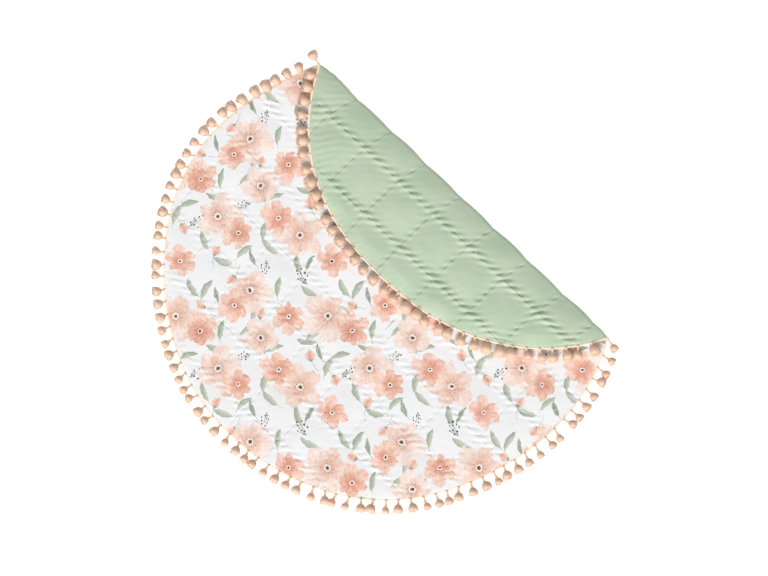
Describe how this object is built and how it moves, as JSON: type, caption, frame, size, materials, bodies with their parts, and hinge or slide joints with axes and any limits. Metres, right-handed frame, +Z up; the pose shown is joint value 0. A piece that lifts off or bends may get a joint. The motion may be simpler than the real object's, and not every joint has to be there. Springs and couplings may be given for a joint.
{
  "type": "baby play mat",
  "caption": "Round quilted cotton play mat with a pompom edge, laid flat with one side folded back over the printed face.",
  "frame": {"origin": "on the floor under the middle of the quilted puff nearest the mat's centre; the round mat's own centre is 47 mm from it", "axes": "+Z up from the floor, +Y towards the top of the picture, +X towards its right; the fold runs at -43.5 degrees from +X, on the +X +Y side"},
  "size_m": [1.0432, 1.0291, 0.0243],
  "materials": {
    "printed_cotton": "matt woven cotton with a floral print",
    "sage_cotton": "matt woven cotton, sage green",
    "peach_yarn": "soft peach yarn"
  },
  "bodies": {
    "root": {"front_panel": "printed_cotton", "back_panel": "sage_cotton", "trim_flap_1": "peach_yarn", "trim_flap_2": "peach_yarn", "trim_flap_3": "peach_yarn", "trim_flap_4": "peach_yarn", "trim_rim_1": "peach_yarn", "trim_rim_2": "peach_yarn", "trim_rim_3": "peach_yarn", "trim_rim_4": "peach_yarn", "trim_rim_5": "peach_yarn", "trim_rim_6": "peach_yarn", "trim_rim_7": "peach_yarn", "trim_rim_8": "peach_yarn", "trim_corner_left": "peach_yarn", "trim_corner_right": "peach_yarn"}
  },
  "joints": []
}
